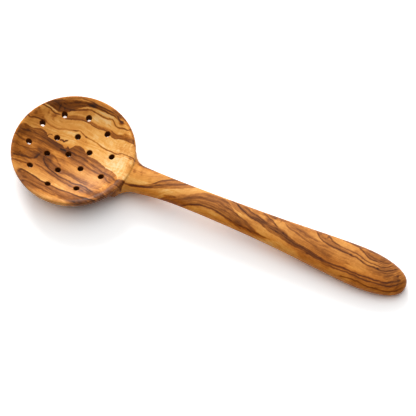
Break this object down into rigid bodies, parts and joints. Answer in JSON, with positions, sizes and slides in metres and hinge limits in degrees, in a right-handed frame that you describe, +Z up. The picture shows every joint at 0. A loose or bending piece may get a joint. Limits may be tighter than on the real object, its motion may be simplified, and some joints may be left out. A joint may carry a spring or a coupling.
{
  "type": "strainer spoon",
  "caption": "Carved wooden strainer spoon: a shallow round bowl with drilled drain holes, and a long handle that swells to a rounded tip; lifts food out of liquid.",
  "frame": {"origin": "on the table under the middle of the spoon's length and width, with the spoon lying as it rests: on the flat under its bowl and on the underside of its handle's end", "axes": "+X from the bowl towards the handle's tip, +Z up out of the dish, +Y across the spoon"},
  "size_m": [0.3, 0.0892, 0.0192],
  "materials": {
    "olive_wood": "oiled satin, strongly figured"
  },
  "bodies": {
    "root": {"spoon": "olive_wood"}
  },
  "joints": []
}
